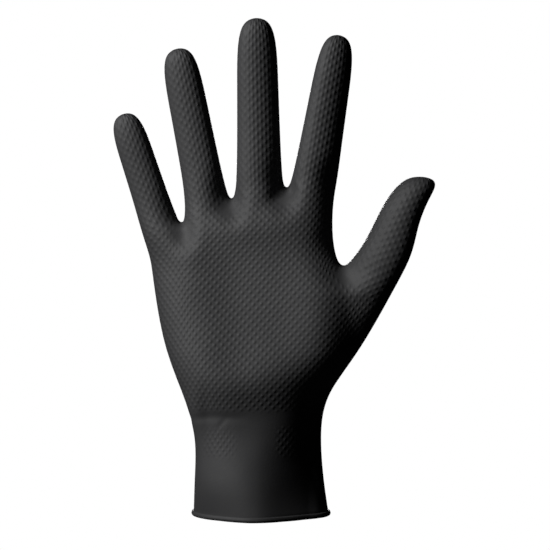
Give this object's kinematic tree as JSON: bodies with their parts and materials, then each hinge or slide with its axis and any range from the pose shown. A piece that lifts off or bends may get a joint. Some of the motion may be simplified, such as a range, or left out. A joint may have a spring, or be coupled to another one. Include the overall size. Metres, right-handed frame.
{
  "type": "nitrile exam glove",
  "caption": "Five-fingered dipped film glove in its worn form, fingers up and spread, with a straight cuff that ends in a rolled bead.",
  "frame": {"origin": "middle of the cuff's mouth, in the plane of the rolled bead's lower edge", "axes": "+Z towards the middle fingertip, -Y the way the palm faces, +X towards the thumb"},
  "size_m": [0.1536, 0.0576, 0.2386],
  "materials": {
    "nitrile": "black satin nitrile film with a fine raised diamond grip on the fingers and palm, smooth on the cuff"
  },
  "bodies": {
    "root": {"glove_shell": "nitrile"}
  },
  "joints": []
}
